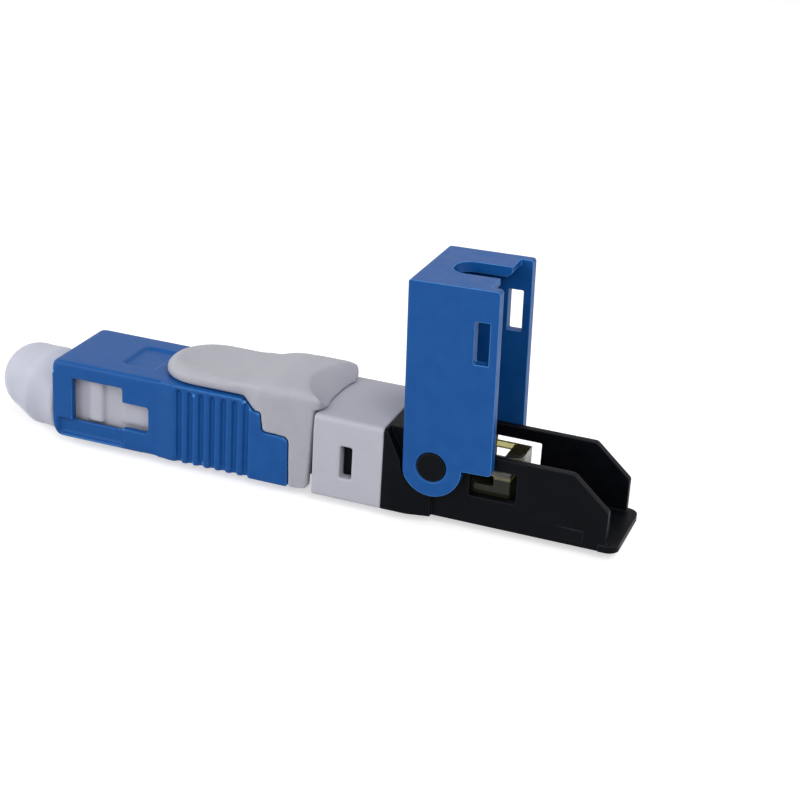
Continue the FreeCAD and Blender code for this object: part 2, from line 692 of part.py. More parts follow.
def splice_housing():
    """Black barrel around the splice, latched in the main body's windows."""
    half_width = SPLICE_HOUSING_HALF_WIDTH
    half_height = SPLICE_HOUSING_HALF_HEIGHT
    barrel = prism_along(centred(half_width, half_height, 0.30), FRAME_X[1], SPLICE_HOUSING_END_X)
    low, high = from_axis(BODY_WINDOW_FROM_AXIS)
    lug = prism_across(rectangle(BODY_WINDOW_X[0] + SLIDE_GAP, BODY_WINDOW_X[1] - SLIDE_GAP,
                                 low + SLIDE_GAP, high - SLIDE_GAP),
                       half_width - 0.3, half_width + BODY_LUG_RAISE)
    barrel = barrel.fuse(both_sides(lug))
    cavity = prism_along(centred(SPLICE_CAVITY_HALF_WIDTH, SPLICE_CAVITY_HALF_HEIGHT, 0.25),
                         SPLICE_HOUSING_WALL_X[1], BIG)
    return barrel.cut([
        cavity,
        rod(SPLICE_HOUSING_BORE_R, 0.0, BIG),
        rod(SPRING_MEAN_R + SPRING_WIRE_R + 0.05, FRAME_X[1] - 1.0, SPLICE_HOUSING_WALL_X[0]),
        block(*POST_SLOT_X, -POST_HALF_WIDTH - 0.2, POST_HALF_WIDTH + 0.2, AXIS_Z, BIG),
    ])


def main_body():
    """White collar that joins the splice housing to the cable base."""
    section = [
        (-BODY_HALF_WIDTH, 0.0, BODY_EDGE_R),
        (BODY_HALF_WIDTH, 0.0, BODY_EDGE_R),
        (BODY_HALF_WIDTH, BODY_HEIGHT, BODY_TOP_R),
        (-BODY_HALF_WIDTH, BODY_HEIGHT, BODY_TOP_R),
    ]
    body = prism_along(section, *BODY_X)
    bore = prism_along(centred(SPLICE_HOUSING_HALF_WIDTH + SLIDE_GAP / 2,
                               SPLICE_HOUSING_HALF_HEIGHT + SLIDE_GAP / 2, 0.30),
                       BODY_X[0] - 1.0, BODY_X[1] + 1.0)
    window = prism_across(rectangle(*BODY_WINDOW_X, *from_axis(BODY_WINDOW_FROM_AXIS), 0.06),
                          SPLICE_HOUSING_HALF_WIDTH - 0.5, BODY_HALF_WIDTH + 1.0)
    return body.cut([bore] + both_sides(window))


def cable_base():
    """Black base: collar, deck, pivots for the cover and the channel for the cable."""
    base = base_blank()
    base = base.cut(side_recesses())
    inner = CHANNEL_HALF_WIDTH - CHANNEL_WALL
    hollows = [
        block(CHAMBER_X, BIG, -inner, inner, FLOOR_THICKNESS, DECK_Z - DECK_ROOF),
        block(DECK_END_X - 1.0, BIG, -inner, inner, FLOOR_THICKNESS, BIG).cut(deck_round(1.0)),
        rod(FIBRE_BORE_R, BASE_SPIGOT_X - 1.0, CHAMBER_X + 1.0),
        prism_along(centred(SPLICE_HOUSING_HALF_WIDTH - BASE_SPIGOT_WALL,
                            SPLICE_HOUSING_HALF_HEIGHT - BASE_SPIGOT_WALL, 0.25),
                    BASE_SPIGOT_X - 1.0, BODY_X[1]),
    ]
    window = prism_across(rectangle(*SIDE_WINDOW_X, *from_axis(SIDE_WINDOW_FROM_AXIS), 0.15),
                          inner - 1.0, BIG)
    base = base.cut(hollows + both_sides(window))
    pivot = pin(PIVOT_R, CHANNEL_HALF_WIDTH - 0.2, COVER_HALF_WIDTH, HINGE_X, HINGE_Z)
    lug_plan = [
        (LUG_X[0], CHANNEL_HALF_WIDTH - 0.2, 0.0),
        (LUG_X[0], CHANNEL_HALF_WIDTH, 0.0),
        (LUG_X[1] - 0.35, CHANNEL_HALF_WIDTH + LUG_RAISE, 0.0),
        (LUG_X[1], CHANNEL_HALF_WIDTH + LUG_RAISE, 0.0),
        (LUG_X[1], CHANNEL_HALF_WIDTH - 0.2, 0.0),
    ]
    lug = prism_up(lug_plan, HINGE_Z - COVER_SLOT_DROP[1] + LUG_GAP,
                   HINGE_Z - COVER_SLOT_DROP[0] - LUG_GAP)
    return base.fuse(both_sides(pivot) + both_sides(lug)).removeSplitter()


def base_blank():
    """Collar, deck, channel walls, lip and spigot before anything is hollowed."""
    section = [
        (-BODY_HALF_WIDTH, 0.0, BODY_EDGE_R),
        (BODY_HALF_WIDTH, 0.0, BODY_EDGE_R),
        (BODY_HALF_WIDTH, DECK_Z, BODY_TOP_R),
        (-BODY_HALF_WIDTH, DECK_Z, BODY_TOP_R),
    ]
    plan = [
        (BODY_X[1], -BODY_HALF_WIDTH, 0.0),
        (COLLAR_TAPER_X, -BODY_HALF_WIDTH, 5.0),
        (RECESS_EDGE_X, -COLLAR_END_HALF_WIDTH, 0.0),
        (DECK_END_X, -COLLAR_END_HALF_WIDTH, 0.0),
        (DECK_END_X, COLLAR_END_HALF_WIDTH, 0.0),
        (RECESS_EDGE_X, COLLAR_END_HALF_WIDTH, 0.0),
        (COLLAR_TAPER_X, BODY_HALF_WIDTH, 5.0),
        (BODY_X[1], BODY_HALF_WIDTH, 0.0),
    ]
    collar = prism_along(section, BODY_X[1], DECK_END_X).common(
        [deck_round(0.0).common(prism_up(plan, -BIG, BIG))])
    walls = [
        (BODY_X[1] + 1.0, 0.0, 0.0),
        (CHANNEL_END_X, 0.0, 0.0),
        (CHANNEL_END_X, CHANNEL_TIP_Z, 0.40),
        (CHANNEL_CHAMFER_X, CHANNEL_TOP_Z, 0.60),
        (BODY_X[1] + 1.0, CHANNEL_TOP_Z, 0.0),
    ]
    channel = prism_across(walls, -CHANNEL_HALF_WIDTH, CHANNEL_HALF_WIDTH)
    lip_plan = [
        (CHANNEL_END_X - 0.6, -LIP_HALF_WIDTH, 0.0),
        (LIP_END_X, -LIP_HALF_WIDTH, LIP_CORNER_R),
        (LIP_END_X, LIP_HALF_WIDTH, LIP_CORNER_R),
        (CHANNEL_END_X - 0.6, LIP_HALF_WIDTH, 0.0),
    ]
    lip = prism_up(lip_plan, 0.0, FLOOR_THICKNESS)
    spigot = prism_along(centred(SPLICE_HOUSING_HALF_WIDTH, SPLICE_HOUSING_HALF_HEIGHT, 0.30),
                         BASE_SPIGOT_X, BODY_X[1] + 0.5)
    return collar.fuse([channel, lip, spigot])


def deck_round(inset):
    """Space in front of the arc that the cover's roof sweeps, less an inset."""
    reach = math.hypot(COVER_ROOF_START, COVER_ROOF_RISE - COVER_ROOF_THICKNESS) - SLIDE_GAP - inset
    swept = pin(reach, -BIG, BIG, HINGE_X, HINGE_Z)
    ahead = block(0.0, HINGE_X, -BIG, BIG, -BIG, BIG)
    below = block(HINGE_X - 1.0, DECK_END_X, -BIG, BIG, -BIG, HINGE_Z)
    return ahead.fuse([swept, below])


def side_recesses():
    """Recesses beside the collar that the cover's plates swing in."""
    foot_x = HINGE_X - RECESS_R
    head_z = 2 * DECK_Z
    head_x = foot_x - (head_z - HINGE_Z) * math.tan(math.radians(RECESS_LEAN))
    swing = [
        (foot_x, HINGE_Z, 0.0),
        (BIG, HINGE_Z, 0.0),
        (BIG, head_z, 0.0),
        (head_x, head_z, 0.0),
    ]
    cutters = []
    for cutter in (
            prism_across(swing, CHANNEL_HALF_WIDTH, BIG),
            pin(RECESS_R, CHANNEL_HALF_WIDTH, BIG, HINGE_X, HINGE_Z),
            block(RECESS_EDGE_X, CHANNEL_END_X - 0.6, CHANNEL_HALF_WIDTH, BIG, -BIG, HINGE_Z)):
        cutters += both_sides(cutter)
    return cutters


def fibre_guide():
    """Clear amber guide: nose tube and an open box that centres the fibre."""
    half = CHANNEL_HALF_WIDTH - CHANNEL_WALL - SLIDE_GAP
    bottom, top = from_axis(GUIDE_FROM_AXIS)
    guide = prism_along(rectangle(-half, half, bottom, top, 0.20), *GUIDE_X)
    inside = block(GUIDE_OPENING_X[0], GUIDE_OPENING_X[1], -half + GUIDE_WALL, half - GUIDE_WALL,
                   bottom + GUIDE_WALL, BIG)
    opening = prism_across(rectangle(*GUIDE_OPENING_X, *from_axis(GUIDE_OPENING_FROM_AXIS), 0.15),
                           -BIG, BIG)
    nose = rod(GUIDE_NOSE_R, GUIDE_NOSE_X, GUIDE_X[1] - 0.1)
    guide = guide.cut([inside, opening]).fuse(nose)
    funnel_x = GUIDE_X[1] - 2.2
    return guide.cut([
        rod(GUIDE_BORE_R, GUIDE_NOSE_X - 1.0, BIG),
        cone(GUIDE_BORE_R, GUIDE_FUNNEL_R, funnel_x, GUIDE_X[1] + 0.5),
    ])


def cable_cover():
    """Blue flip cover: two plates, roof, notched end wall, turned open about the hinge."""
    cover = cover_closed()
    cover.rotate(Vector(0, 0, 0), Vector(0, 1, 0), -OPEN_ANGLE)
    cover.translate(Vector(HINGE_X, 0, HINGE_Z))
    return cover


def cover_closed():
    """Cover in its closed pose, with the hinge axis at the origin and its length along +X."""
    side = [
        (COVER_HEEL_X, -COVER_DROP, 0.30),
        (COVER_LENGTH, -COVER_DROP, 0.30),
        (COVER_LENGTH, COVER_ROOF_RISE, COVER_EDGE_R),
        (0.0, COVER_ROOF_RISE, 0.0),
        (0.0, -COVER_ROOF_RISE, 0.0),
        (COVER_HEEL_X, -COVER_ROOF_RISE, 0.0),
    ]
    section = [
        (-COVER_HALF_WIDTH, -BIG, 0.0),
        (COVER_HALF_WIDTH, -BIG, 0.0),
        (COVER_HALF_WIDTH, COVER_ROOF_RISE, COVER_EDGE_R),
        (-COVER_HALF_WIDTH, COVER_ROOF_RISE, COVER_EDGE_R),
    ]
    eye = pin(COVER_ROOF_RISE, -COVER_HALF_WIDTH, COVER_HALF_WIDTH, 0.0, 0.0)
    cover = prism_across(side, -COVER_HALF_WIDTH, COVER_HALF_WIDTH).fuse(eye)
    cover = cover.common(prism_along(section, -BIG, BIG))
    inner = COVER_HALF_WIDTH - COVER_PLATE
    ceiling = COVER_ROOF_RISE - COVER_ROOF_THICKNESS
    hollows = [
        block(-BIG, COVER_ROOF_START, -inner, inner, -BIG, BIG),
        block(-BIG, COVER_LENGTH - COVER_END_THICKNESS, -inner, inner, -BIG, ceiling),
        block(0.0, BIG, -inner, inner, -BIG, -end_drop()),
        pin(PIVOT_R + HINGE_GAP, -BIG, BIG, 0.0, 0.0),
        prism_across(rectangle(*COVER_SLOT_X, -COVER_SLOT_DROP[1], -COVER_SLOT_DROP[0], 0.12),
                     -BIG, BIG),
        end_notch(),
        prong_bevel(inner),
    ] + both_sides(eye_chamfer())
    return cover.cut(hollows).removeSplitter()


def end_drop():
    """Distance from the hinge axis down to the end wall's prongs, which clear the lip."""
    return HINGE_Z - FLOOR_THICKNESS - SLIDE_GAP


def eye_chamfer():
    """Chamfer around the eye's outer rim."""
    hole = PIVOT_R + HINGE_GAP
    return Part.makeCone(hole, hole + EYE_CHAMFER, EYE_CHAMFER,
                         Vector(0, COVER_HALF_WIDTH - EYE_CHAMFER, 0), Vector(0, 1, 0))


def end_notch():
    """Round-ended slot in the end wall that the cable passes through."""
    half = COVER_NOTCH_HALF_WIDTH
    outline = [
        (-half, -BIG, 0.0),
        (half, -BIG, 0.0),
        (half, COVER_NOTCH_TOP, half - 0.25),
        (-half, COVER_NOTCH_TOP, half - 0.25),
    ]
    return prism_along(outline, COVER_LENGTH - 2 * COVER_END_THICKNESS, BIG)


def prong_bevel(inner):
    """Bevel on the inner edge of the two prongs beside the notch."""
    start_x = COVER_LENGTH - COVER_END_THICKNESS
    outline = [
        (start_x - 0.1, -end_drop() - 0.1, 0.0),
        (start_x + COVER_BEVEL, -end_drop() - 0.1, 0.0),
        (start_x - 0.1, -end_drop() + COVER_BEVEL + 0.1, 0.0),
    ]
    return prism_across(outline, -inner, inner)


def dust_cap():
    """Soft translucent cap: leaning domed head with a rim, and a stem over the ferrule."""
    outline = [
        (-1.0, 0.0, 0.0),
        (CAP_LENGTH, 0.0, 0.0),
        (CAP_LENGTH, CAP_HEAD_R, CAP_HEAD_R - 0.4),
        (CAP_HEAD_START, CAP_HEAD_R, 3.0),
        (CAP_RIM_LENGTH, CAP_RIM_R, 0.5),
        (CAP_RIM_LENGTH - 0.5, CAP_RIM_R, 0.3),
        (CAP_NECK_LENGTH, CAP_NECK_R, 0.2),
        (-1.0, CAP_NECK_R, 0.0),
    ]
    face = rounded_face(outline, lambda u, v: Vector(u, 0, v))
    head = face.revolve(Vector(0, 0, 0), Vector(1, 0, 0), 360)
    head.rotate(Vector(0, 0, 0), Vector(0, 0, 1), 180 - CAP_YAW)
    head.rotate(Vector(0, 0, 0), Vector(0, 1, 0), CAP_PITCH)
    head.translate(Vector(CAP_BASE_X, CAP_BASE_Y, CAP_BASE_Z))
    head = head.cut(block(CAP_BASE_X, BIG, -BIG, BIG, -BIG, BIG))
    stem = rod(CAP_STEM_R, CAP_BASE_X, CAP_STEM_END_X)
    bore = [
        rod(FERRULE_R + 2 * BORE_GAP, CAP_BORE_END_X, BIG),
        cone(FERRULE_R, FERRULE_R + 0.4, CAP_STEM_END_X - 0.4, CAP_STEM_END_X + 0.01),
    ]
    return head.fuse(stem).cut(bore).removeSplitter()


def export(name, shape):
    """Move a piece into the row frame and write it as one STEP file."""
    placed = shape.copy()
    placed.translate(Vector(-HINGE_X, 0, 0))
    if len(placed.Solids) == 1:
        placed = placed.Solids[0]
    placed.exportStep(os.path.join("parts", name + ".step"))
    print(name, "solids", len(placed.Solids), "valid", placed.isValid(),
          "volume %.2f" % placed.Volume)


def main():
    """Build and export every piece of the connector."""
    os.makedirs("parts", exist_ok=True)
    pieces = {
        "dust_cap": dust_cap(),
        "outer_housing": outer_housing(),
        "plug_frame": plug_frame(),
        "ferrule": ferrule(),
        "ferrule_holder": ferrule_holder(),
        "ferrule_spring": ferrule_spring(),
        "fibre_stub": fibre_stub(),
        "splice_base": splice_base(),
        "splice_lid_front": splice_lid(FRONT_LID_X),
        "splice_lid_rear": splice_lid(REAR_LID_X),
        "splice_clip": splice_clip(),
        "clamp_sleeve": clamp_sleeve(),
        "splice_housing": splice_housing(),
        "lock_slider": lock_slider(),
        "main_body": main_body(),
        "cable_base": cable_base(),
        "fibre_guide": fibre_guide(),
        "cable_cover": cable_cover(),
    }
    for name, shape in pieces.items():
        export(name, shape)


main()
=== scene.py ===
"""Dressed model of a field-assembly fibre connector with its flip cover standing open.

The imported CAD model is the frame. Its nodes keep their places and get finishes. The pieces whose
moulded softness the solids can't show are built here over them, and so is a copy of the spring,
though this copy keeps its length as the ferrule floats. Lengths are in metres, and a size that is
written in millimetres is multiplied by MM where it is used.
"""

import logging
import math
from dataclasses import dataclass, field
from enum import Enum

import bmesh
import bpy
from mathutils import Matrix, Vector


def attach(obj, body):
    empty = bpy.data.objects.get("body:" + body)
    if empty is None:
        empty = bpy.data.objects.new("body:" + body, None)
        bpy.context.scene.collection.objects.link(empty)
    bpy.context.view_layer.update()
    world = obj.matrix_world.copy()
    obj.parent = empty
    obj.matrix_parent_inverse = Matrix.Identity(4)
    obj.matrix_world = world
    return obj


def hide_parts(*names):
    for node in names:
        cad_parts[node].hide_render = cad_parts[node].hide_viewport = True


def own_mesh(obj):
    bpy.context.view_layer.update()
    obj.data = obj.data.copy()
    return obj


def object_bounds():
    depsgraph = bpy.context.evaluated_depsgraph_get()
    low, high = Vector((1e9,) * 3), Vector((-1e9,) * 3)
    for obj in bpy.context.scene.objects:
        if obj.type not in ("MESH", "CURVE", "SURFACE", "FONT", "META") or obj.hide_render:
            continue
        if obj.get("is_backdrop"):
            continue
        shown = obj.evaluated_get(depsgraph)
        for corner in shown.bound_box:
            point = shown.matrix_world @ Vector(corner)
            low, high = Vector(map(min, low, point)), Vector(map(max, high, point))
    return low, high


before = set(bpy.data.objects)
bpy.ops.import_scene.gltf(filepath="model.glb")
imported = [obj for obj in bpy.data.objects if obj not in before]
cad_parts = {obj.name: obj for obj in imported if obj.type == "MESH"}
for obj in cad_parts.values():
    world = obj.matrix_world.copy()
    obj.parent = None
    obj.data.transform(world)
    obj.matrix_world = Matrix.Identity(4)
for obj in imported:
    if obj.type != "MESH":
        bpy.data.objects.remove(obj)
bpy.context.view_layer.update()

LOG = logging.getLogger("connector")
MM = 0.001
# Farther out than any point of the connector, in millimetres
FAR = 100.0
# Corners of a box that holds the whole connector, in millimetres
LOWEST = Vector((-FAR, -FAR, -FAR))
HIGHEST = Vector((FAR, FAR, FAR))
# Points nearer than this are one point where flat faces of a solid meet, in millimetres
SAME_POINT = 1e-4
# Phase in radians that a wave texture of scale 1 runs through in each unit of length
WAVE_PHASE = 20
# Spans of a noise texture's values that colour clouds and gloss clouds are drawn from
CLOUD_SPAN = (0.35, 0.65)
GLOSS_SPAN = (0.3, 0.7)


class Body(Enum):
    """Rigid bodies of the frame that new pieces ride on."""

    CONNECTOR = "connector"
    GRIP = "grip"
    SLIDER = "slider"
    CAP = "cap"


class Slot(Enum):
    """Material slots of the record, listed with the new skins."""

    BLUE = "blue_plastic"
    GREY = "grey_plastic"
    WHITE = "white_plastic"
    CAP = "cap_plastic"
    SPRING = "spring_steel"


class EdgeReading(Enum):
    """How a finish finds the edges that it paints lighter, partly as wear and partly as a painted
    highlight.
    """

    BEVEL = "difference between the rounded and the plain normal"
    POINTINESS = "curvature at the points of an even, dense mesh"


def linear(colour: str) -> tuple[float, float, float, float]:
    """Turn an sRGB hex colour into linear RGBA.

    Args:
        colour: the colour as #RRGGBB.

    Returns:
        Linear red, green and blue, and an alpha of 1.
    """
    shares = [int(colour[i:i + 2], 16) / 255 for i in (1, 3, 5)]
    values = [s / 12.92 if s <= 0.04045 else ((s + 0.055) / 1.055) ** 2.4 for s in shares]
    return (*values, 1.0)


def add(tree: bpy.types.NodeTree, kind: str, settings: dict[str | int, object] | None = None,
        links: dict[str | int, bpy.types.NodeSocket] | None = None) -> bpy.types.Node:
    """Add a node with its settings and links.

    Args:
        tree: node tree that gets the node.
        kind: identifier of the node type.
        settings: attributes by name, and values of input sockets by name or number.
        links: outputs to plug in, by the name or number of the input.

    Returns:
        The new node.
    """
    node = tree.nodes.new(kind)
    for key, value in (settings or {}).items():
        if isinstance(key, str) and hasattr(node, key):
            setattr(node, key, value)
        else:
            node.inputs[key].default_value = value
    for key, output in (links or {}).items():
        tree.links.new(output, node.inputs[key])
    return node


def empty_material(name: str) -> tuple[bpy.types.Material, bpy.types.NodeTree]:
    """Make a material with an empty node tree.

    Args:
        name: name of the material.

    Returns:
        The material and its tree.
    """
    material = bpy.data.materials.new(name)
    material.use_nodes = True
    material.node_tree.nodes.clear()
    return material, material.node_tree


@dataclass(frozen=True)
class MouldedPlastic:
    """Injection-moulded thermoplastic with a satin tool texture.

    Every edge has the small radius that a mould gives, drawn by the shader, and it is painted a
    little lighter than the faces, partly as wear and partly as a painted highlight. The texture's
    grain is drawn coarser than it is, so that it shows.
    """

    name: str
    colour: str
    pale_wear_and_highlight: str
    roughness: float
    ior: float = 1.53
    sheen: float = 0.20
    edge_radius: float = 0.15
    grain: float = 0.15
    grain_depth: float = 0.005
    cloud: float = 1.1
    cloud_share: float = 0.05
    scatter: float = 0.0
    scatter_depth: float = 0.8
    edges: EdgeReading = EdgeReading.BEVEL
    pointiness: tuple[float, float] = (0.528, 0.60)
    likeness: tuple[float, float] = (0.985, 0.80)
    gloss_spread: float = 0.05

    def edge_share(self, tree: bpy.types.NodeTree, rounded: bpy.types.NodeSocket) -> bpy.types.Node:
        """Find how much of the pale edge colour, a painted highlight and wear, shows.

        Args:
            tree: tree of the material.
            rounded: normal with its edges rounded.

        Returns:
            A node whose result is 1 on edges and 0 on faces.
        """
        surface = add(tree, "ShaderNodeNewGeometry")
        if self.edges is EdgeReading.POINTINESS:
            flat, sharp = self.pointiness
            return add(tree, "ShaderNodeMapRange", {"From Min": flat, "From Max": sharp},
                       {"Value": surface.outputs["Pointiness"]})
        alike = add(tree, "ShaderNodeVectorMath", {"operation": "DOT_PRODUCT"},
                    {0: rounded, 1: surface.outputs["Normal"]})
        flat, sharp = self.likeness
        return add(tree, "ShaderNodeMapRange", {"From Min": flat, "From Max": sharp},
                   {"Value": alike.outputs["Value"]})

    def build(self) -> bpy.types.Material:
        """Make the material.

        Returns:
            The new material.
        """
        material, tree = empty_material(self.name)
        place = add(tree, "ShaderNodeTexCoord").outputs["Object"]
        soft = add(tree, "ShaderNodeBevel", {"samples": 8, "Radius": self.edge_radius * MM})
        edge = self.edge_share(tree, soft.outputs["Normal"])
        cloud = add(tree, "ShaderNodeTexNoise", {"Scale": 1 / (self.cloud * MM), "Detail": 3.0},
                    {"Vector": place})
        grain = add(tree, "ShaderNodeTexNoise", {"Scale": 1 / (self.grain * MM), "Detail": 1.0},
                    {"Vector": place})
        clouded = add(tree, "ShaderNodeMix", {"data_type": "RGBA", 6: linear(self.colour),
                                              7: linear(self.pale_wear_and_highlight)})
        share = add(tree, "ShaderNodeMapRange",
                    {"From Min": CLOUD_SPAN[0], "From Max": CLOUD_SPAN[1],
                     "To Max": self.cloud_share},
                    {"Value": cloud.outputs["Fac"]})
        tree.links.new(share.outputs["Result"], clouded.inputs[0])
        # painted highlight and wear: edges are mixed towards the pale colour
        worn_and_highlit = add(tree, "ShaderNodeMix", {"data_type": "RGBA", 7: linear(self.pale_wear_and_highlight)},
                   {0: edge.outputs["Result"], 6: clouded.outputs[2]})
        gloss = add(tree, "ShaderNodeMapRange",
                    {"From Min": GLOSS_SPAN[0], "From Max": GLOSS_SPAN[1],
                     "To Min": self.roughness - self.gloss_spread,
                     "To Max": self.roughness + self.gloss_spread},
                    {"Value": cloud.outputs["Fac"]})
        bump = add(tree, "ShaderNodeBump", {"Strength": 0.5, "Distance": self.grain_depth * MM},
                   {"Height": grain.outputs["Fac"], "Normal": soft.outputs["Normal"]})
        shader = add(tree, "ShaderNodeBsdfPrincipled",
                     {"IOR": self.ior, "Specular IOR Level": self.sheen,
                      "Subsurface Weight": self.scatter, "Subsurface Radius": (1.0, 1.0, 1.0),
                      "Subsurface Scale": self.scatter_depth * MM},
                     {"Base Color": worn_and_highlit.outputs[2], "Roughness": gloss.outputs["Result"],
                      "Normal": bump.outputs["Normal"]})
        add(tree, "ShaderNodeOutputMaterial", None, {"Surface": shader.outputs["BSDF"]})
        return material


@dataclass(frozen=True)
class ClearFinish:
    """Clear tinted plastic or glass with a smooth surface and faint flow lines.

    A piece that stands in a dark seat gets a painted shade below the shade line: a dark colour and
    no light let through, standing in for the shade down in the seat.
    """

    name: str
    colour: str
    deep: str
    roughness: float
    ior: float
    clear: float
    sheen: float = 0.5
    painted_shade: str | None = None
    shade_line: tuple[float, float] = (4.1, 4.5)
    flow_size: float = 1.1
    flow_depth: float = 0.02
    edge_radius: float = 0.08

    def above_shade_line(self, tree: bpy.types.NodeTree,
                   place: bpy.types.NodeSocket) -> bpy.types.NodeSocket:
        """Tell the part above the shade line from the part below it, which gets the painted shade.

        Args:
            tree: tree of the material.
            place: position in the row frame.

        Returns:
            An output that is 1 above the shade line and 0 below it.
        """
        low, high = (height * MM for height in self.shade_line)
        parts = add(tree, "ShaderNodeSeparateXYZ", None, {0: place})
        return add(tree, "ShaderNodeMapRange", {"From Min": low, "From Max": high},
                   {"Value": parts.outputs["Z"]}).outputs["Result"]

    def build(self) -> bpy.types.Material:
        """Make the material.

        Returns:
            The new material.
        """
        material, tree = empty_material(self.name)
        place = add(tree, "ShaderNodeTexCoord").outputs["Object"]
        flow = add(tree, "ShaderNodeTexNoise", {"Scale": 1 / (self.flow_size * MM), "Detail": 2.0,
                                                "Distortion": 0.6}, {"Vector": place})
        tint = add(tree, "ShaderNodeMix", {"data_type": "RGBA", 6: linear(self.colour),
                                           7: linear(self.deep)}, {0: flow.outputs["Fac"]})
        soft = add(tree, "ShaderNodeBevel", {"samples": 6, "Radius": self.edge_radius * MM})
        bump = add(tree, "ShaderNodeBump", {"Strength": 0.3, "Distance": self.flow_depth * MM},
                   {"Height": flow.outputs["Fac"], "Normal": soft.outputs["Normal"]})
        shader = add(tree, "ShaderNodeBsdfPrincipled",
                     {"Roughness": self.roughness, "IOR": self.ior,
                      "Specular IOR Level": self.sheen, "Transmission Weight": self.clear},
                     {"Base Color": tint.outputs[2], "Normal": bump.outputs["Normal"]})
        if self.painted_shade is not None:
            share = self.above_shade_line(tree, place)
            # painted shade: below the shade line the colour turns dark and transmission stops
            painted_shade_tint = add(tree, "ShaderNodeMix", {"data_type": "RGBA", 6: linear(self.painted_shade)},
                           {0: share, 7: tint.outputs[2]})
            let_through = add(tree, "ShaderNodeMath", {"operation": "MULTIPLY", 1: self.clear},
                              {0: share})
            tree.links.new(painted_shade_tint.outputs[2], shader.inputs["Base Color"])
            tree.links.new(let_through.outputs["Value"], shader.inputs["Transmission Weight"])
        add(tree, "ShaderNodeOutputMaterial", None, {"Surface": shader.outputs["BSDF"]})
        return material


@dataclass(frozen=True)
class HardSurface:
    """Metal or ceramic with fine lines from turning, drawing or lapping round its long axis.

    The lines' spacing is set by line_radian, the length in which their wave runs one radian.
    They are drawn coarser than they are, so that they show.
    """

    name: str
    colour: str
    dark: str
    metallic: float
    roughness: float
    line_radian: float
    ior: float = 1.5
    line_depth: float = 0.002

    def build(self) -> bpy.types.Material:
        """Make the material.

        Returns:
            The new material.
        """
        material, tree = empty_material(self.name)
        place = add(tree, "ShaderNodeTexCoord").outputs["Object"]
        lines = add(tree, "ShaderNodeTexWave",
                    {"bands_direction": "X", "Scale": 1 / (WAVE_PHASE * self.line_radian * MM),
                     "Distortion": 1.5, "Detail": 2.0}, {"Vector": place})
        tint = add(tree, "ShaderNodeMix", {"data_type": "RGBA", 6: linear(self.dark),
                                           7: linear(self.colour)}, {0: lines.outputs["Fac"]})
        bump = add(tree, "ShaderNodeBump", {"Strength": 0.2, "Distance": self.line_depth * MM},
                   {"Height": lines.outputs["Fac"]})
        values = {"Metallic": self.metallic, "Roughness": self.roughness}
        if self.metallic < 0.5:
            values["IOR"] = self.ior
        shader = add(tree, "ShaderNodeBsdfPrincipled", values,
                     {"Base Color": tint.outputs[2], "Normal": bump.outputs["Normal"]})
        add(tree, "ShaderNodeOutputMaterial", None, {"Surface": shader.outputs["BSDF"]})
        return material


